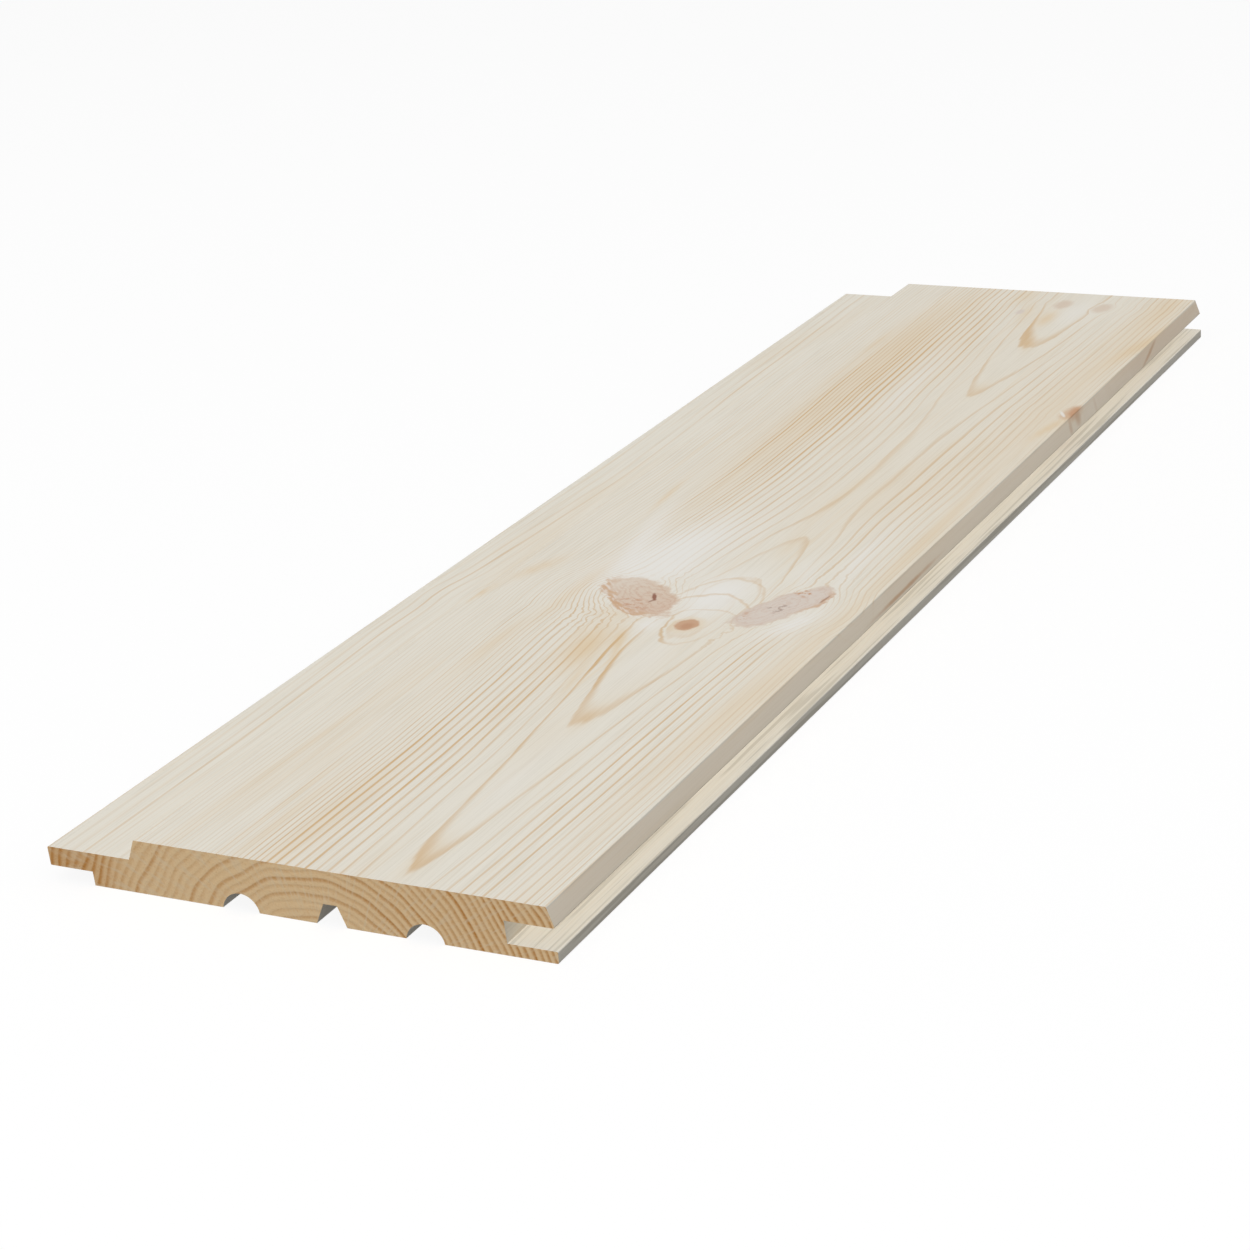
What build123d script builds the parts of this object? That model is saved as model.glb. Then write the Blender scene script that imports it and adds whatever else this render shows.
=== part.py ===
from build123d import *

import os
from math import radians, tan

# Shadow gap panelling board: one length of planed softwood, moulded on all four sides.
# The section runs along Y. X goes across the board from the tongue (-X) to the groove (+X), and Z
# goes up from the back of the board to its face. The origin is at the middle of the back. A row of
# such boards shows a sunken strip, the shadow gap, between one face and the next.

# Overall sizes, in millimetres
board_length = 442.0
board_width = 120.0  # tongue tip to lower lip tip
board_thickness = 12.0

# Groove side
lip_thickness = 2.6  # lower lip, flush with the back
groove_height = 4.95
groove_depth = 11.1  # at the lower lip
nose_setback = 0.25  # the upper lip stops this far short of the lower one

# Tongue side, sized to enter the groove of the next board
shadow_gap = 9.8  # width of the sunken strip at its floor, once two boards are joined
clearance_over_tongue = 0.15
clearance_under_tongue = 0.55
clearance_at_lip_tip = 0.05

# Cutter angles and edges
face_bevel_angle = 20.0  # slope of both face edges, away from square
joint_draft_angle = 4.0  # slope of the tongue tip, the rebate wall and the groove wall
arris_radius = 0.3

# Relief grooves in the back, which keep the board flat
relief_groove_pitch = 21.55
relief_groove_centre = 8.85  # the middle groove, measured from the board's centre line
round_groove_width = 8.8  # at the back
round_groove_depth = 3.75
centre_groove_width = 7.1  # at the back
centre_groove_depth = 4.6
centre_groove_side_angle = 67.0  # between the back and a side wall


def run_of(angle, rise):
    """How far a wall leans sideways over a rise, for an angle from square."""
    return rise * tan(radians(angle))


# Heights of the joint, from the back of the board
groove_top = lip_thickness + groove_height
tongue_bottom = lip_thickness + clearance_under_tongue
tongue_top = groove_top - clearance_over_tongue

# Places across the board
tongue_tip = -board_width / 2
lip_tip = board_width / 2
groove_wall = lip_tip - groove_depth
rebate_depth = groove_depth + clearance_at_lip_tip
rebate_wall = tongue_tip + rebate_depth
nose_tip = lip_tip - nose_setback
tongue_length = shadow_gap + rebate_depth - nose_setback
gap_wall = tongue_tip + tongue_length

# Lean of each sloping wall
tip_lean = run_of(joint_draft_angle, tongue_top - tongue_bottom)
rebate_lean = run_of(joint_draft_angle, tongue_bottom)
groove_lean = run_of(joint_draft_angle, groove_height)
gap_wall_lean = run_of(face_bevel_angle, board_thickness - tongue_top)
nose_lean = run_of(face_bevel_angle, board_thickness - groove_top)

# A round groove is a circle that dips into the back, with its centre just below it
round_groove_radius = (round_groove_width**2 / 4 + round_groove_depth**2) / (2 * round_groove_depth)
round_groove_height = round_groove_depth - round_groove_radius

tongue_corners = [
    (tongue_tip + tip_lean, tongue_bottom),
    (tongue_tip, tongue_top),
]
face_corners = [
    (gap_wall + gap_wall_lean, board_thickness),
    (nose_tip - nose_lean, board_thickness),
]
nose_corner = (nose_tip, groove_top)
lip_corners = [
    (lip_tip, lip_thickness),
    (lip_tip, 0),
]
section_corners = [
    (rebate_wall, 0),
    (rebate_wall - rebate_lean, tongue_bottom),
    *tongue_corners,
    (gap_wall, tongue_top),
    *face_corners,
    nose_corner,
    (groove_wall - groove_lean, groove_top),
    (groove_wall, lip_thickness),
    *lip_corners,
]
exposed_corners = [*tongue_corners, *face_corners, nose_corner, *lip_corners]

with BuildPart() as panel_board:
    with BuildSketch(Plane.XZ) as section:
        with BuildLine():
            Polyline(*section_corners, close=True)
        make_face()
        # Every edge that a hand or the next board meets has its arris taken off
        arrises = [section.vertices().sort_by_distance(corner)[0] for corner in exposed_corners]
        fillet(arrises, arris_radius)
        # Two round relief grooves, one on each side of the middle one
        with Locations(
            (relief_groove_centre - relief_groove_pitch, round_groove_height),
            (relief_groove_centre + relief_groove_pitch, round_groove_height),
        ):
            Circle(round_groove_radius, mode=Mode.SUBTRACT)
        # The middle relief groove has a flat bottom and sloping sides
        with Locations((relief_groove_centre, 0)):
            Trapezoid(
                centre_groove_width,
                centre_groove_depth,
                centre_groove_side_angle,
                align=(Align.CENTER, Align.MIN),
                mode=Mode.SUBTRACT,
            )
    extrude(amount=board_length / 2, both=True)

panel_board.part.label = "panel_board"
os.makedirs("parts", exist_ok=True)
export_step(panel_board.part, "parts/panel_board.step")
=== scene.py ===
from math import ceil, radians

import bmesh
import bpy
import numpy as np
from mathutils import Euler, Matrix, Vector


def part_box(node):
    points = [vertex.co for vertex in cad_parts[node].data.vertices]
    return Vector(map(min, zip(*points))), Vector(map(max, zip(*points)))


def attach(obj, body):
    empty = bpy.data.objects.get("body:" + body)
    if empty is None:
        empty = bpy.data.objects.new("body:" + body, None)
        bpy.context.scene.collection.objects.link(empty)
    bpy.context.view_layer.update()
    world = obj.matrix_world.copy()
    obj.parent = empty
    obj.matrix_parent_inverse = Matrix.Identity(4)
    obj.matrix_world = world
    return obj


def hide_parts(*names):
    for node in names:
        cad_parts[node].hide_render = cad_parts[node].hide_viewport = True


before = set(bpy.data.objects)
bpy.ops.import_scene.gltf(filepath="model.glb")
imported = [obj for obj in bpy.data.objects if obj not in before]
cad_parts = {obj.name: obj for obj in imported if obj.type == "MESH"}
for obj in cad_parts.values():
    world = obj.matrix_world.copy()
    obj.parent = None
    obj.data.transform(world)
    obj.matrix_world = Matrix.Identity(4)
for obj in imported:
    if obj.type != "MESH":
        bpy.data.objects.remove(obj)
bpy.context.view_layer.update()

# THE BOARD
# One length of spruce, planed and moulded on all four sides and cut square at both ends. Nothing is
# fixed to it. Its shape comes from the frame, divided finely enough to carry the figure of the wood.
face_pitch = 0.0006  # spacing of the divisions across the face
side_pitch = 0.0012  # and across every other surface
length_pitch = 0.0020  # and along the board
weld = 1e-6  # corners nearer than this are one

board_low, board_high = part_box("panel_board")
board_length = board_high.y - board_low.y

board = bpy.data.objects.new("board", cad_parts["panel_board"].data.copy())
bpy.context.scene.collection.objects.link(board)
bpy.ops.object.select_all(action="DESELECT")
board.select_set(True)
bpy.context.view_layer.objects.active = board


def runs_along(edge):
    """Whether an edge runs the length of the board."""
    return abs(edge.verts[0].co.y - edge.verts[1].co.y) > board_length / 2


def on_face(edge):
    """Whether an edge lies on the face of the board."""
    return min(vert.co.z for vert in edge.verts) > board_high.z - weld


def is_end(face):
    """Whether a face is one of the two sawn ends."""
    return abs(face.normal.y) > 0.9


def cuts_across(edge):
    """How often an edge of an end's outline is cut."""
    pitch = face_pitch if on_face(edge) else side_pitch
    return 0 if runs_along(edge) else ceil(edge.calc_length() / pitch) - 1


def cuts_along(edge):
    """How often an edge that runs the length of the board is cut."""
    return ceil(board_length / length_pitch) - 1 if runs_along(edge) else 0


def select_only(kind, wanted):
    """Selects the faces or edges of the board that are wanted, and nothing else."""
    bpy.ops.mesh.select_all(action="DESELECT")
    mesh = bmesh.from_edit_mesh(board.data)
    for item in getattr(mesh, kind):
        if wanted(item):
            item.select_set(True)
    bmesh.update_edit_mesh(board.data)


def cut_edges(cuts_for):
    """Cuts edges into equal lengths; those that get the same number of cuts are cut together."""
    mesh = bmesh.from_edit_mesh(board.data)
    for cuts in sorted({cuts_for(edge) for edge in mesh.edges} - {0}):
        select_only("edges", lambda edge: cuts_for(edge) == cuts)
        bpy.ops.mesh.subdivide(number_cuts=cuts)


bpy.ops.object.mode_set(mode="EDIT")
bpy.ops.mesh.select_all(action="SELECT")
bpy.ops.mesh.remove_doubles(threshold=weld)
bpy.ops.mesh.dissolve_limited(angle_limit=radians(0.5))
bpy.ops.mesh.customdata_custom_splitnormals_clear()

# The two ends come off while the long surfaces are divided, and are closed again afterwards
select_only("faces", is_end)
bpy.ops.mesh.delete(type="ONLY_FACE")
cut_edges(cuts_across)

# For a texture, the surfaces are laid out flat as they follow each other around the section, the
# face at twice its width and the length upwards; the two ends go side by side in a strip above
face_stretch = 2.0
sides_top = 0.93
margin = 0.005


def at_end(edge, end):
    """Whether an edge is part of the outline of one end."""
    return all(abs(vert.co.y - end) < weld for vert in edge.verts)


mesh = bmesh.from_edit_mesh(board.data)
layout = mesh.loops.layers.uv.new("OFBake")
rim = {edge for edge in mesh.edges if at_end(edge, board_low.y)}
corner = min((vert for edge in rim for vert in edge.verts), key=lambda vert: vert.co.x + vert.co.z)
reached = 0.0
while rim:
    edge = next(edge for edge in corner.link_edges if edge in rim)
    rim.remove(edge)
    width = edge.calc_length() * (face_stretch if on_face(edge) else 1.0)
    for loop in edge.link_faces[0].loops:
        here = (loop.vert.co.xz - corner.co.xz).length < weld
        up = (loop.vert.co.y - board_low.y) / board_length
        loop[layout].uv = reached + (0 if here else width), up
    reached += width
    corner = edge.other_vert(corner)
for face in mesh.faces:
    for loop in face.loops:
        loop[layout].uv.x = 1 - margin - (1 - 2 * margin) * loop[layout].uv.x / reached
        loop[layout].uv.y = margin + (sides_top - 2 * margin) * loop[layout].uv.y
bmesh.update_edit_mesh(board.data)

cut_edges(cuts_along)
for end in (board_low.y, board_high.y):
    select_only("edges", lambda edge: at_end(edge, end))
    bpy.ops.mesh.edge_face_add()
bpy.ops.mesh.select_all(action="SELECT")
bpy.ops.mesh.normals_make_consistent(inside=False)
mesh = bmesh.from_edit_mesh(board.data)
layout = mesh.loops.layers.uv["OFBake"]
for face in mesh.faces:
    if is_end(face):
        for loop in face.loops:
            flat = (loop.vert.co - board_low) * (0.5 - 2 * margin) / (board_high.x - board_low.x)
            left = margin + flat.x if face.normal.y < 0 else 1 - margin - flat.x
            loop[layout].uv = left, sides_top + 2 * margin + flat.z
bmesh.update_edit_mesh(board.data)
bpy.ops.object.mode_set(mode="OBJECT")
bpy.ops.object.shade_smooth_by_angle(angle=radians(30))

# The figure of the wood is the trace of the growth rings on the surfaces. Places are in millimetres,
# along the board from its near end and across it from the tip of the tongue, on the face. Below the
# face the same figure narrows towards the heart of the stem, which lies under the back.
heart_line = [  # along, across: the middle of the arches in the figure
    (0, 84.2), (60, 84.2), (100, 83.0), (130, 82.0), (150, 82.5), (175, 83.5),
    (207, 84.6), (250, 86.2), (290, 85.6), (330, 84.2), (380, 83.6), (442, 82.5),
]
ring_swell = [  # along, swelling: the rings swell towards each whorl of branches
    (0, -3), (4, 3), (20, 15), (40, 28), (60, 46), (80, 71), (100, 101), (120, 148), (131, 170),
    (148, 200), (156, 196), (163.5, 175), (169, 122), (175, 76), (190, 38), (207, 6), (216, -22),
    (225, -40), (240, -49), (262, -50), (285, -45), (300, -39), (315, -26), (329, 0), (345, 18),
    (362, 40), (380, 78), (400, 104), (418, 134), (430, 152), (442, 160),
]
ring_growth = [  # growth outwards from the middle of the arches, and the rings counted in it
    (-12, -4), (-7.9, -3), (-4.75, -2), (-1.8, -1), (0, 0), (16, 9.14), (72, 57.8),
]
first_ring = -4
late_middle = 0.9  # of a ring: where its line of late wood is
ring_strengths = [  # of the late wood, from the first ring outwards
    0.3, 0.5, 0.85, 0.85, 0.5, 0.6, 0.95, 0.6, 1.0, 0.65, 0.75, 1.0, 1.0, 0.45,
    0.9, 0.5, 1.0, 0.3, 0.6, 0.3, 0.5, 1.0, 0.35, 0.25, 0.5, 0.25, 0.4, 0.25, 0.4,
]
tongue_reach = 23.0  # from the tip of the tongue to the edge of the face
heart_depth = 20.0  # from the face down to the heart
narrowing = 0.6  # loss of that depth for each millimetre below the face
large_knots = [  # along, across, half length, half width, turn: the rings part around these
    (157.3, 62.3, 14.8, 7.6, -44.0), (159.8, 98.7, 15.8, 5.8, 25.0),
]
small_knots = [  # and around these
    (142.5, 81.6, 3.9, 3.0, 0.0), (322.0, 118.4, 5.5, 2.8, 0.0), (428.5, 79.5, 5.0, 2.6, 0.0),
    (426.5, 92.8, 4.8, 2.8, 10.0), (157.0, 19.0, 8.0, 4.0, 15.0),
]
opening = 0.72  # how far the rings open before and after a knot
bold_places = [  # along, across, half length, half width, turn, strength: where the lines show more
    (25, 54, 70, 4, 0, 0.5), (20, 62, 60, 6, 0, 0.3), (310, 57, 80, 4, -1, 0.8),
    (270, 96.5, 90, 1.6, 0, 0.5), (320, 44.5, 75, 3.0, -0.8, 1.4), (320, 51, 85, 2.4, -1, 1.2),
    (398, 78.5, 16, 2.6, -11, 0.5), (60, 98.5, 60, 2.5, 3, 0.3), (143, 58, 10, 12, 0, 0.35),
    (90, 64, 40, 3, -3, 0.3), (118, 72, 18, 2.4, -14, 0.7), (390, 64, 18, 2.0, -7, 0.6),
    (190, 84, 17, 8, 0, -0.55),
    (348, 86, 26, 6, 0, -0.35), (90, 114.5, 75, 5.5, 0, -1.0), (240, 115.5, 80, 5, 0, -1.0),
    (345, 110, 80, 9, 0, -0.8), (430, 100, 25, 9, 0, -0.6), (20, 89, 40, 3, 0, -0.2),
    (280, 68, 70, 7, -1, -0.4), (60, 41, 80, 4, 0, -0.6), (265, 102, 90, 5, 0, -0.35),
    (213, 76, 22, 2.2, 14, 0.7), (161, 82, 13, 8, 0, -0.8), (124, 70.4, 12, 1.4, -8, 0.9),
]
honey_places = [  # where the wood is warm
    (124, 64.6, 14, 4.2, -6, 1.0), (131, 69.8, 6, 1.5, -12, 0.8), (412, 79.8, 8, 2.4, 0, 1.0),
    (388, 116.0, 18, 2.4, 9, 0.7), (400, 118.5, 16, 1.4, 0, 0.6), (308, 115.8, 10, 1.3, 10, 0.9),
    (300, 47.0, 75, 9.0, -1, 0.45), (385, 46.0, 45, 8.0, -2, 0.45), (228, 36.5, 11, 0.8, -4, 0.8),
    (147, 22.6, 7, 1.3, 15, 0.9), (168, 28.5, 9, 2.2, 20, 0.7), (22, 55.5, 34, 4.0, 0, 0.4),
    (20, 47.0, 30, 1.6, 0, 0.4), (215, 115.0, 45, 2.0, -1, 0.6), (110, 114.5, 45, 4.0, 2, 0.5),
    (13, 84.2, 10, 2.2, 0, 0.5), (430, 112.0, 30, 5.0, 0, 0.5), (120, 42.0, 16, 1.6, 0, 0.5),
    (160, 45.0, 25, 2.0, 0, 0.5), (86, 84.0, 7, 1.6, 0, 0.5), (337, 84.4, 8, 2.0, 0, 0.3),
    (386, 82.6, 8, 1.8, -12, 0.7), (104, 71.0, 10, 0.9, -8, 0.6), (123, 72.6, 9, 1.0, -16, 0.7),
    (147, 63, 4, 7, -25, 0.4), (340, 111, 90, 8, 0, 0.35), (375, 37.5, 12, 0.9, 1, 0.5),
    (418, 71, 10, 2.0, -8, 0.5), (436, 65, 10, 3.0, 0, 0.5), (200, 84.0, 9, 2.2, 0, 0.35),
    (240, 82.0, 30, 1.4, 2, 0.3), (45, 31, 45, 1.0, 2, 0.3), (35, 43, 20, 0.8, 1, 0.4),
    (330, 92, 120, 40, 0, 0.14), (235, 84, 35, 12, 0, 0.14),
]
white_places = [  # where it is nearly white, beside the knots
    (188, 57.0, 26, 11.0, 12, 1.1), (141, 72.5, 5, 3.0, 0, 0.9), (150, 105.5, 10, 3.0, 22, 1.0),
    (162, 80.0, 15, 8.0, 0, 1.1), (195, 104.5, 24, 2.5, -3, 0.6), (335, 64.0, 30, 3.0, -4, 0.5),
    (120, 82.5, 18, 5.0, 0, 0.3), (50, 84.5, 22, 3.5, 0, 0.3), (420, 86.0, 14, 5.0, 0, 0.5),
    (176, 60.0, 9, 9.0, 0, 0.5), (200, 44.0, 22, 3.0, -8, 0.6), (182, 96.0, 10, 3.0, -15, 0.4),
]
curly_places = [  # where the grain is curly
    (143, 58, 8, 11, -30, 1.0), (180, 104, 9, 7, 20, 0.35), (173, 64, 6, 6, 0, 0.8),
    (158, 24, 16, 6, 20, 0.8), (140, 92, 8, 4, 20, 0.6), (312, 115, 9, 3, 10, 0.4),
]


def line_through(points, spot, span=5.0):
    """A smooth line through a few points, read at a spot along the board."""
    shifts = np.linspace(-span, span, 7)
    return sum(np.interp(spot + shift, *zip(*points)) for shift in shifts) / len(shifts)


def distance_in(place, along, across):
    """Distance from the middle of a long round place; 1 on its edge."""
    middle_along, middle_across, half_length, half_width, turn = place
    cosine, sine = np.cos(radians(turn)), np.sin(radians(turn))
    step_along, step_across = along - middle_along, across - middle_across
    lengthwise = step_along * cosine + step_across * sine
    crosswise = step_across * cosine - step_along * sine
    return np.hypot(lengthwise / half_length, crosswise / half_width)


def bell(distance):
    """1 in the middle, fading to nothing at a distance of about 2."""
    return np.exp(-(distance**2))


def spread_over(places):
    """The strength of a list of places at each corner of the mesh, fading around them."""
    return sum(strength * bell(distance_in(place, along, at_face)) for *place, strength in places)


corners = np.empty(len(board.data.vertices) * 3, np.float32)
board.data.vertices.foreach_get("co", corners)
across, along, height = ((corners.reshape(-1, 3) - np.array(board_low)) * 1000).T
thickness = (board_high.z - board_low.z) * 1000
nearness = 1 - narrowing * (thickness - height) / heart_depth
heart = line_through(heart_line, along)
at_face = heart + (across - heart) / nearness

source = at_face.copy()
calm = np.ones_like(source)
for knot_along, knot_across, half_length, half_width, turn in large_knots + small_knots:
    cosine, sine = np.cos(radians(turn)), np.sin(radians(turn))
    reach = np.hypot(half_length * cosine, half_width * sine)
    chord = half_length * half_width / reach
    lean = (half_length**2 - half_width**2) * sine * cosine / reach**2
    step = along - knot_along
    side = source - knot_across - lean * step * bell(step / (2 * reach))
    outside = side**2 - chord**2 * np.maximum(1 - (step / reach) ** 2, 0)
    passed = np.sign(side) * np.sqrt(np.maximum(outside, 0))
    passed *= 1 - opening * bell(step / (1.5 * reach)) * bell(passed / chord)
    source += passed - side
    calm *= np.where(outside > 0, 1.0, 0.0)

swell = line_through(ring_swell, along)
radius = nearness * np.sqrt(np.maximum((source - heart) ** 2 + heart_depth**2 - swell, 1.0))
ring = np.interp(radius - heart_depth, *zip(*ring_growth))
# On the tongue the rings lie flatter, so their lines are further apart, and fade towards the face
flatter = np.interp(height, [3.2, 7.2, 7.5, thickness], [1.0, 0.4, 0.4, 1.0])
ring *= np.where(across < tongue_reach, flatter, 1.0)
fading = np.interp(across, [8.0, 13.0, 20.0, tongue_reach], [1.0, 0.4, 0.4, 1.0])
calm *= np.where(flatter < 0.5, fading, 1.0)
line_places = first_ring + late_middle + np.arange(len(ring_strengths))
white = np.clip(spread_over(white_places), 0, 1)
# The sloping edges, the lower lip and the back show little of the figure, and the tongue most of it
depth = thickness - height
edge_share = np.interp(depth, [0.1, 0.5, 4.3, 4.6, 9.0, 9.4], [1.0, 0.12, 0.12, 0.7, 0.7, 0.12])
figures = {
    "ring": ring,
    "figure": np.interp(ring, line_places, ring_strengths) * calm * (1 - 0.75 * white) * edge_share,
    "bold": np.clip(spread_over(bold_places), -1, 1),
    "honey": np.clip(spread_over(honey_places), 0, 1) * edge_share,
    "white": white,
    "curl": np.clip(spread_over(curly_places), 0, 1),
}
for name, values in figures.items():
    layer = board.data.attributes.new(name, "FLOAT", "POINT")
    layer.data.foreach_set("value", values.astype(np.float32))


class Value:
    """An output of one node in a material. Arithmetic on it adds the Math nodes."""

    def __init__(self, tree, socket):
        self.tree = tree
        self.socket = socket

    def node(self, kind, settings, sockets, output=0):
        """Adds a node of a kind: its settings first, then the values or links of its sockets."""
        made = self.tree.nodes.new("ShaderNode" + kind)
        for name, setting in settings.items():
            setattr(made, name, setting)
        for name, value in sockets.items():
            if isinstance(value, Value):
                self.tree.links.new(value.socket, made.inputs[name])
            else:
                made.inputs[name].default_value = value
        return Value(self.tree, made.outputs[output])

    def maths(self, operation, *terms):
        return self.node("Math", {"operation": operation}, dict(enumerate(terms)))

    def __add__(self, other):
        return self.maths("ADD", self, other)

    def __sub__(self, other):
        return self.maths("SUBTRACT", self, other)

    def __rsub__(self, other):
        return self.maths("SUBTRACT", other, self)

    def __mul__(self, other):
        return self.maths("MULTIPLY", self, other)

    def __truediv__(self, other):
        return self.maths("DIVIDE", self, other)

    def __rtruediv__(self, other):
        return self.maths("DIVIDE", other, self)

    __radd__ = __add__
    __rmul__ = __mul__

    def part(self):
        """What is left over a whole number."""
        return self.maths("FRACT", self)

    def most(self, other):
        return self.maths("MAXIMUM", self, other)

    def step(self, low, high):
        """Rises smoothly from 0 at low to 1 at high."""
        sockets = {"Value": self, "From Min": low, "From Max": high}
        return self.node("MapRange", {"interpolation_type": "SMOOTHSTEP"}, sockets)

    def scaled(self, x, y, z):
        """A place with its axes multiplied, to stretch a pattern."""
        return self.node("VectorMath", {"operation": "MULTIPLY"}, {0: self, 1: (x, y, z)})

    def axis(self, name):
        """One coordinate of a place."""
        return self.node("SeparateXYZ", {}, {0: self}, output="XYZ".index(name))

    def noise(self, detail=2.0):
        """Cloudy noise over a place, about 0 to 1."""
        return self.node("TexNoise", {}, {"Vector": self, "Scale": 1.0, "Detail": detail})

    def oval(self, along, across, half_length, half_width, turn=0.0):
        """A place seen from the middle of an oval, which has its edge at a length of 1."""
        sockets = {"Vector": self, "Location": (along, across, 0), "Rotation": (0, 0, radians(turn))}
        sockets["Scale"] = (half_length, half_width, 1)
        return self.node("Mapping", {"vector_type": "TEXTURE"}, sockets)

    def length(self):
        return self.node("VectorMath", {"operation": "LENGTH"}, {0: self}, output=1)

    def between(self, first, second):
        """A colour that goes from the first to the second as this value goes from 0 to 1."""
        return self.node("Mix", {"data_type": "RGBA"}, {0: self, 6: first, 7: second}, output=2)

    def to(self, other, share):
        """This colour with a share of another one mixed in."""
        return share.between(self, other)


def colour(red, green, blue):
    """A colour as seen on a screen, from 0 to 255, made linear for the shader."""
    seen = np.array([red, green, blue]) / 255
    linear = np.where(seen > 0.04045, ((seen + 0.055) / 1.055) ** 2.4, seen / 12.92)
    return (*map(float, linear), 1.0)


def new_material(name):
    """A material, its surface shader, and the place on the piece that its patterns read."""
    material = bpy.data.materials.new(name)
    material.use_nodes = True
    surface = material.node_tree.nodes["Principled BSDF"]
    place = Value(material.node_tree, surface.outputs[0]).node("TexCoord", {}, {}, output="Object")
    return material, surface, place


def feed(shader, sockets):
    """Sets or links the sockets of a shader that is already there."""
    for name, value in sockets.items():
        if isinstance(value, Value):
            value.tree.links.new(value.socket, shader.inputs[name])
        else:
            shader.inputs[name].default_value = value


# Planed spruce is cream early wood with a line of honey-brown late wood at each ring, which ends
# sharply on its outer side. Branches cut by the planer show as pinkish or red-brown knots.
cream = colour(223, 218, 206)
fibre_shadow = colour(206, 199, 184)
honey_wood = colour(216, 194, 160)
white_wood_and_highlight = colour(228, 226, 221)
late_wood = colour(202, 170, 127)
dull_line = colour(190, 184, 170)
slope_tone_and_painted_light = colour(240, 222, 197)
late_start = 0.76  # of a ring: where its late wood begins, near the heart and where it isn't bold
late_rise = 0.18
late_end = 0.94

planed, surface, place = new_material("planed_spruce")


def read(name):
    """A figure of the wood, as stored on the board."""
    return place.node("Attribute", {"attribute_name": name}, {}, output=2)


wander = place.scaled(150, 12, 150).noise() - 0.5
ripple = place.scaled(700, 50, 700).noise() - 0.5
curl = place.scaled(360, 300, 360).noise() - 0.5
ring = read("ring") + wander * 0.4 + ripple * 0.12 + curl * read("curl") * 2.4
age = ring.part()
bold = read("bold")
late_from = late_start - ring.step(0.0, 4.0) * 0.1 - bold.most(0.0) * 0.14
late = age.step(late_from, late_from + late_rise) - age.step(late_end, 1.0)
fibre = place.scaled(2600, 40, 2600).noise(4.0)
streak = place.scaled(800, 14, 800).noise(3.0)
cloud = place.scaled(55, 9, 55).noise()
come_and_go = place.scaled(110, 9, 110).noise().step(0.28, 0.62)
line = late * read("figure") * (0.5 + come_and_go * 0.35 + bold * 0.5) * (0.75 + fibre * 0.5)

# The lower lip and the back show dull lines in place of the honey colour
below_groove = 1 - place.axis("Z").step(0.0028, 0.0032)
wood = (fibre.step(0.42, 0.75) * 0.5).between(cream, fibre_shadow)
clouds = cloud.step(0.5, 0.8) * 0.2 + streak.step(0.52, 0.8) * 0.32
wood = wood.to(honey_wood, clouds * (1 - below_groove * 0.75))
wood = wood.to(honey_wood, read("honey") * 0.85)
wood = wood.to(white_wood_and_highlight, read("white") * 0.85)
wood = wood.to(late_wood, line.most(0.0))
wood = wood.to(dull_line, streak.step(0.52, 0.6) * below_groove * 0.65)

# Knots are ovals on the face, in the same millimetres. Two large pale ones have a darker rim, an eye
# with fine rings of their own and dark checks; the far ones are faint, and two small ones are brown.
pale_knot = colour(208, 191, 173)
grey_knot = colour(208, 196, 186)
rose_knot = colour(203, 175, 155)
knot_line = colour(190, 150, 124)
grey_speck = colour(160, 138, 126)
knot_rim = colour(196, 158, 122)
brown_knot = colour(190, 148, 116)
brown_heart = colour(172, 122, 88)
check_shadow = colour(128, 76, 54)

along_mm = place.axis("Y") * 1000 - board_low.y * 1000
across_mm = place.axis("X") * 1000 - board_low.x * 1000
narrow = 1 - (thickness - place.axis("Z") * 1000) * (narrowing / heart_depth)
middle_of_heart = 83.5
across_face = (across_mm - middle_of_heart) / narrow + middle_of_heart
spot = place.node("CombineXYZ", {}, {0: along_mm, 1: across_face})
rough = (place.scaled(210, 210, 210).noise(4.0) - 0.5) * 0.7
fine_rough = (place.scaled(900, 900, 900).noise() - 0.5) * 0.2
speck = (place.scaled(620, 620, 620).noise(3.0) + rough * 0.2).step(0.54, 0.66)


def knot(wood, oval, tint, softness, strength):
    """Lays an oval knot of one tint into the wood; gives the wood, its distance and its inside."""
    edge = spot.oval(*oval).length() + rough + fine_rough
    inside = 1 - edge.step(1 - softness, 1 + softness)
    return wood.to(tint, inside * strength), edge, inside


def check(wood, oval, strength=1.0):
    """A fine dark crack or fleck in a knot."""
    edge = spot.oval(*oval).length() + fine_rough * 2
    return wood.to(check_shadow, (1 - edge.step(0.5, 1.1)) * strength)


def knot_grain(wood, eye, inside):
    """The fine rings and fibres of the branch itself, around its heart."""
    from_eye = spot.oval(*eye)
    eye_rings = (from_eye.length() * 3.2 + rough * 6 + fine_rough * 4).part()
    grain = from_eye.scaled(1.6, 9.0, 1.0).noise(3.0)
    eye_lines = eye_rings.step(0.45, 0.9) - eye_rings.step(0.92, 1.0)
    return wood.to(knot_line, (eye_lines * 0.35 + grain.step(0.45, 0.75) * 0.28) * inside)


def outline(wood, edge, share):
    """The brown bark line around part of a knot."""
    return wood.to(knot_rim, (edge.step(0.7, 0.97) - edge.step(1.0, 1.1)) * share)


def flecks(wood, tint, oval, strength):
    """A cluster of specks in a knot."""
    within = 1 - spot.oval(*oval).length().step(0.3, 1.0)
    return wood.to(tint, speck * within * strength)


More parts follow.
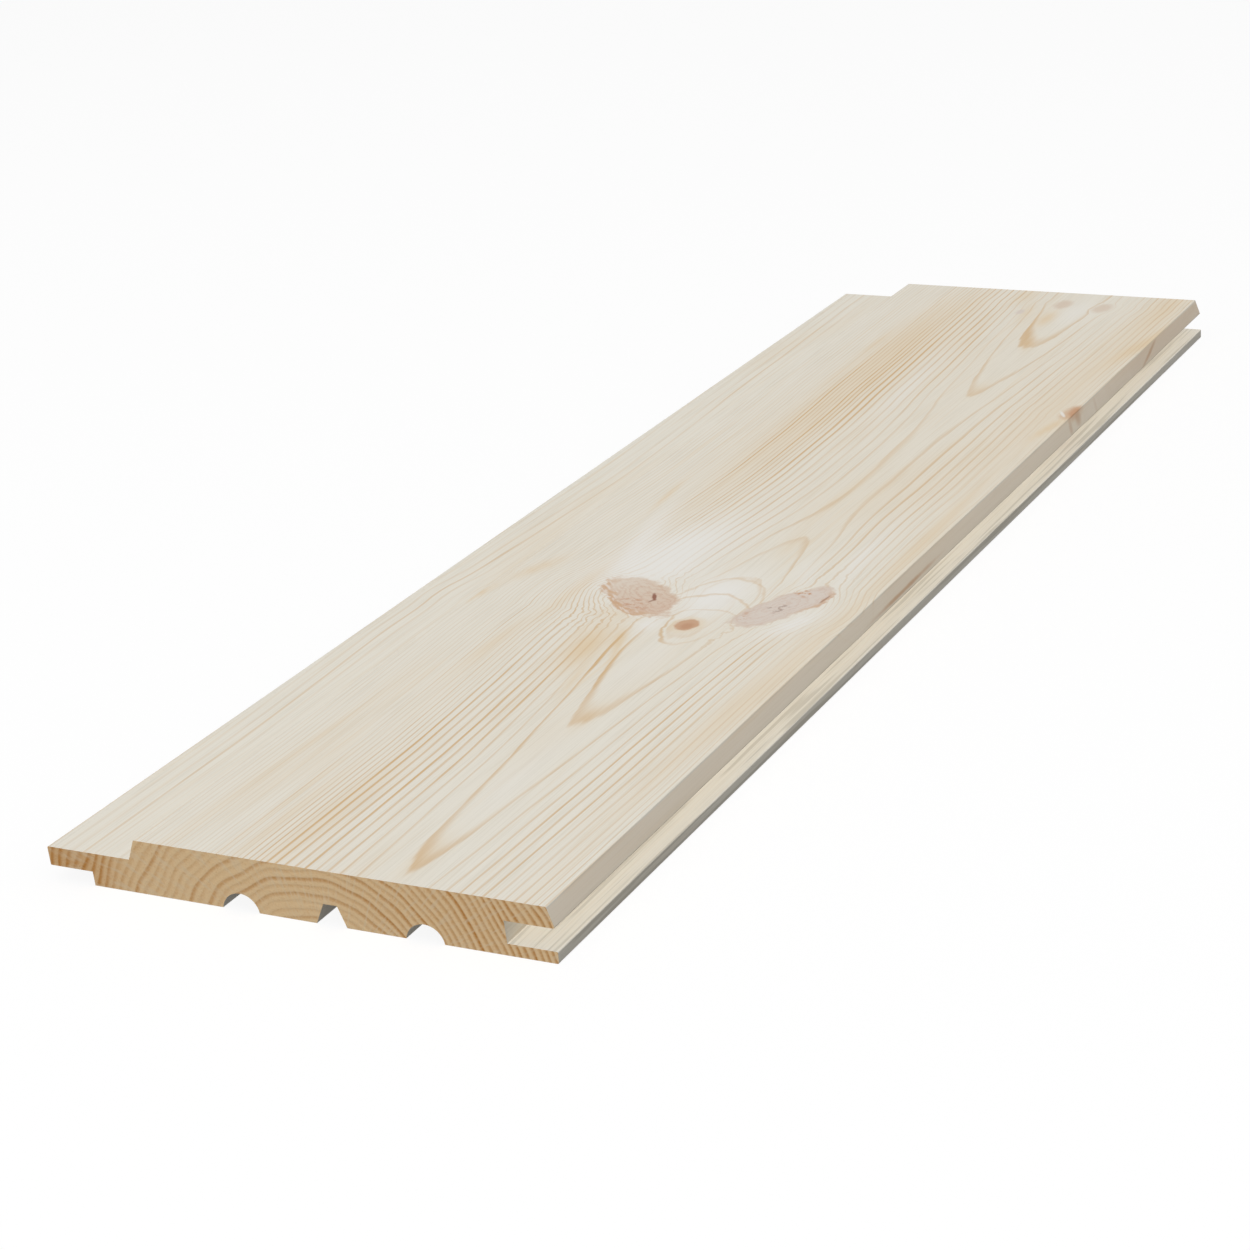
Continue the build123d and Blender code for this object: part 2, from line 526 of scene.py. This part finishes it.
# Between the two large knots, late wood runs in arcs from one to the other
for oval, strength in (
    ((140.0, 84.0, 14.0, 12.0), 0.35), ((140.0, 82.0, 24.0, 14.0), 0.45),
    ((146.0, 82.0, 29.5, 13.2), 0.35),
):
    arc = spot.oval(*oval).length() + rough * 0.25
    arc_line = arc.step(0.93, 0.98) - arc.step(0.98, 1.02)
    wood = wood.to(late_wood, arc_line * along_mm.step(147.0, 155.0) * strength)

# The first large knot is redder towards the near end and soft towards the far one, with bark in its rim
oval = large_knots[0]
lengthwise, crosswise = spot.oval(*oval).axis("X"), spot.oval(*oval).axis("Y")
to_far_end = lengthwise.step(0.1, 1.0)
wood, edge, inside = knot(wood, oval, pale_knot, 0.12, 0.92 - to_far_end * 0.3)
wood = wood.to(rose_knot, inside * (1 - lengthwise.step(-0.9, 0.4)) * 0.45)
wood = knot_grain(wood, (157.3, 66.0, 11.0, 6.0, -45.0), inside * (1 - to_far_end * 0.6))
wood = outline(wood, edge, (1 - crosswise.step(-1.0, 0.2)) * 0.6 + 0.12)
wood = flecks(wood, knot_line, (152.0, 63.0, 8.0, 6.0, -50.0), 0.85)
bark = spot.oval(*oval).scaled(3.2, 7.0, 1.0).noise(3.0) + rough * 0.25
on_rim = (edge.step(0.65, 0.85) - edge.step(1.0, 1.25)) * (1 - crosswise.step(-0.7, 0.0))
wood = wood.to(knot_rim, bark.step(0.5, 0.62) * on_rim * 0.5)
wood = wood.to(white_wood_and_highlight, (1 - bark.step(0.36, 0.5)) * on_rim * 0.5)

# The second is greyer, with specks in its middle and bark along its outer corner
oval = large_knots[1]
lengthwise, crosswise = spot.oval(*oval).axis("X"), spot.oval(*oval).axis("Y")
wood, edge, inside = knot(wood, oval, grey_knot, 0.14, 0.85)
wood = knot_grain(wood, (158.0, 97.0, 12.0, 4.0, 25.0), inside * 0.6)
wood = outline(wood, edge, crosswise.step(0.1, 0.7) * lengthwise.step(-0.2, 0.4) * 0.5 + 0.15)
wood = flecks(wood, grey_speck, (158.0, 97.5, 6.5, 3.6, 25.0), 0.8)
wood = flecks(wood, brown_knot, (170.0, 100.5, 4.0, 3.6, 40.0), 1.0)
wood = flecks(wood, brown_knot, (152.0, 92.5, 6.0, 2.0, 0.0), 0.6)

for oval, tint, softness, strength in (
    ((428.5, 79.5, 5.0, 2.6, 0.0), pale_knot, 0.45, 0.9),
    ((426.5, 92.8, 4.8, 2.8, 10.0), pale_knot, 0.5, 0.8),
    ((417.5, 69.0, 2.6, 1.2, 0.0), grey_knot, 0.5, 0.8),
    ((142.9, 81.6, 5.2, 4.2, 0.0), honey_wood, 0.25, 0.45),
    ((142.9, 81.6, 3.7, 2.9, 0.0), brown_knot, 0.15, 0.88),
    ((142.2, 81.9, 2.0, 1.5, 0.0), brown_heart, 0.5, 0.4),
    ((322.0, 117.8, 6.5, 3.0, 4.0), knot_rim, 0.4, 0.7),
    ((322.5, 118.2, 4.2, 1.8, -8.0), brown_knot, 0.4, 1.0),
    # A painted highlight: a thin white streak on the brown edge knot
    ((320.0, 115.3, 2.6, 0.5, -28.0), white_wood_and_highlight, 0.5, 0.8),
):
    wood = knot(wood, oval, tint, softness, strength)[0]

# One line of late wood bends around the small brown knot
bend = spot.oval(146.0, 83.0, 15.0, 7.0)
loop = bend.length() + rough * 0.6
loop_line = (loop.step(0.89, 0.97) - loop.step(0.98, 1.05)) * (1 - along_mm.step(140.0, 156.0))
on_top = 1 - bend.axis("Y").step(-0.7, 0.1)
wood = wood.to(late_wood, loop_line * (0.25 + on_top * 0.5))

# The sloping edges are painted warmer and lighter than the face: the warmth is their own tone, the
# extra lightness is painted light.
# Below the edge knot and the warm wood of the face, brown strokes run down them.
on_slope = place.axis("Z").step(0.00745, 0.0079) - place.axis("Z").step(0.0114, 0.0118)
wood = wood.to(slope_tone_and_painted_light, on_slope * 0.5)
for oval, strength in (
    ((187.0, 123.2, 24.0, 0.9, -1.0), 0.8), ((323.0, 121.0, 2.6, 3.4, 20.0), 0.6),
    ((316.0, 121.5, 1.4, 4.0, 15.0), 0.4), ((391.0, 121.5, 11.0, 0.9, -19.0), 0.7),
    ((338.0, 122.0, 1.2, 4.0, 10.0), 0.2), ((405.0, 121.5, 70.0, 6.0, 0.0), 0.22),
):
    edge = spot.oval(*oval).length() + rough * 0.8
    wood = wood.to(knot_rim, (1 - edge.step(0.2, 1.3)) * on_slope * strength)

wood = check(wood, (157.6, 66.0, 3.0, 0.65, -26.0), 0.9)
wood = check(wood, (155.2, 66.6, 1.6, 0.5, 25.0), 0.6)
wood = check(wood, (167.5, 106.6, 3.4, 0.4, 6.0), 0.5)

bump_height = fibre * 0.4 - late * 0.3
bump = place.node("Bump", {}, {"Strength": 0.12, "Distance": 0.0002, "Height": bump_height})
feed(surface, {"Base Color": wood, "Roughness": 0.6 + fibre * 0.1, "Normal": bump})
feed(surface, {"Specular IOR Level": 0.25})

# The ends are sawn across the grain, so the rings show as arcs around the heart, below the back.
# Sawn end grain soaks up light, so it looks darker and more orange than the planed faces.
end_heart = (8.0, -17.0)  # across and up, from the middle of the back
end_ring = 1.7
end_lean = 0.12  # the rings are wider towards the tongue
end_wood = colour(238, 206, 160)
end_late = colour(192, 131, 62)
end_ray = colour(232, 210, 176)

sawn, surface, place = new_material("sawn_spruce")
from_x = place.axis("X") * 1000 - end_heart[0]
from_z = place.axis("Z") * 1000 - end_heart[1]
end_radius = place.node("CombineXYZ", {}, {0: from_x, 1: from_z}).length()
end_angle = from_z.maths("ARCTAN2", from_z, from_x)
around = place.node("CombineXYZ", {}, {0: end_angle * 42, 1: end_radius * 0.16})
ray = around.noise(3.0)
end_wander = place.scaled(130, 10, 130).noise(0.0) - 0.5
end_rings = (end_radius + from_x * end_lean) / end_ring + end_wander * 1.1
end_age = end_rings.part()
end_line = end_age.step(0.2, 0.72) - end_age.step(0.76, 1.0)
ring_count = end_rings.maths("FLOOR", end_rings)
each_ring = place.node("TexWhiteNoise", {"noise_dimensions": "1D"}, {"W": ring_count})
# The rings are strongest at the groove and on the tongue, and faintest over the heart
to_groove = from_x.step(-10, 45)
to_tongue = 1 - from_x.step(-62, -44)
over_heart = from_x.step(-40, -18) - from_x.step(2, 24)
end_strength = 0.22 + each_ring * each_ring * 0.6 + to_groove * 0.38 + to_tongue * 0.5
end_strength = end_strength - over_heart * 0.14
speckle = place.scaled(2200, 400, 2200).noise(3.0)
end_grain = (to_tongue * 0.4 + speckle.step(0.5, 0.8) * 0.25).between(end_wood, end_late)
end_grain = end_grain.to(end_late, end_line * end_strength * (0.6 + speckle * 0.7))
end_grain = end_grain.to(end_ray, ray.step(0.48, 0.68) * 0.5)
bump_height = speckle - end_line * 0.4
bump = place.node("Bump", {}, {"Strength": 0.2, "Distance": 0.0003, "Height": bump_height})
feed(surface, {"Base Color": end_grain, "Roughness": 0.82, "Specular IOR Level": 0.15, "Normal": bump})

board.data.materials.clear()
board.data.materials.append(planed)
board.data.materials.append(sawn)
for polygon in board.data.polygons:
    polygon.material_index = 1 if is_end(polygon) else 0

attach(board, "root")
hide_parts("panel_board")

# THE FLOOR
# A plain sheet of white paper that the board lies on, just below its back. It looks white to the
# camera and keeps a soft shadow, but sends little light back up at the board.
floor_size = 8.0
floor_height = -0.0001
paper_white = (1.0, 1.0, 1.0, 1.0)
paper_sent_back = (0.07, 0.07, 0.07, 1.0)
paper_glow = 0.7  # share of the white that no shadow darkens


def seen_directly(value):
    """1 for rays from the camera, or by way of gloss or glass, in the nodes that a value belongs to."""
    kinds = ("Is Camera Ray", "Is Glossy Ray", "Is Transmission Ray")
    camera, glossy, through = (value.node("LightPath", {}, {}, output=kind) for kind in kinds)
    return camera + glossy + through


bpy.ops.object.select_all(action="DESELECT")
bpy.ops.mesh.primitive_plane_add(size=floor_size, location=(0, 0, floor_height))
floor = bpy.context.object
floor.name = "floor"
paper, surface, place = new_material("floor_paper")
matt = place.node("BsdfDiffuse", {}, {"Color": paper_sent_back})
matt_white = place.node("BsdfDiffuse", {}, {"Color": paper_white})
glow = place.node("Emission", {}, {"Color": paper_white, "Strength": 1.0})
shown = place.node("MixShader", {}, {0: paper_glow, 1: matt_white, 2: glow})
both = place.node("MixShader", {}, {0: seen_directly(place), 1: matt, 2: shown})
feed(paper.node_tree.nodes["Material Output"], {"Surface": both})
paper.node_tree.nodes.remove(surface)
floor.data.materials.append(paper)

# THE LIGHT
# Plain studio light: an even pale room, a large soft lamp high in front of the near end and a weak
# one on the right. The lamps throw no shadow, so the lip shows; the room gives the soft shadow.
room_white = (1.0, 1.0, 1.0, 1.0)
room_light = 0.34
lamps = [  # name, towards it, level: how bright it makes a white surface that faces it
    ("front_lamp", (0.0, -0.6, 0.8), 0.715),
    ("side_lamp", (0.8, -0.1, 0.6), 0.18),
]
lamp_distance = 8.0
lamp_size = 4.0

room = bpy.data.worlds.new("room")
room.use_nodes = True
background = room.node_tree.nodes["Background"]
seen = seen_directly(Value(room.node_tree, background.outputs[0]))
strength = seen.step(0.0, 1.0) * (1.0 - room_light) + room_light
feed(background, {"Color": room_white, "Strength": strength})
bpy.context.scene.world = room

for name, towards, level in lamps:
    towards = Vector(towards).normalized()
    bpy.ops.object.light_add(type="AREA", location=towards * lamp_distance)
    lamp = bpy.context.object
    lamp.name = name
    lamp.data.size = lamp_size
    lamp.data.use_shadow = False
    lamp.data.energy = level * np.pi**2 * lamp_distance**2
    lamp.rotation_euler = towards.to_track_quat("Z", "Y").to_euler()

# THE CAMERA
# It looks down along the board from beyond its near right corner, tilted a little to one side.
camera_place = (0.314908, -0.672408, 0.269229)
camera_heading = radians(27.529)
camera_dip = radians(21.169)
camera_roll = radians(-4.131)
bpy.ops.object.camera_add(location=camera_place)
camera = bpy.context.object
upright = Euler((radians(90) - camera_dip, 0, camera_heading)).to_matrix()
camera.rotation_euler = (upright @ Matrix.Rotation(camera_roll, 3, "Z")).to_euler()
camera.data.sensor_width = 36.0
camera.data.lens = 86.73
camera.data.shift_x = -0.0002
camera.data.shift_y = 0.0014
bpy.context.scene.camera = camera
bpy.context.scene.view_settings.view_transform = "Standard"
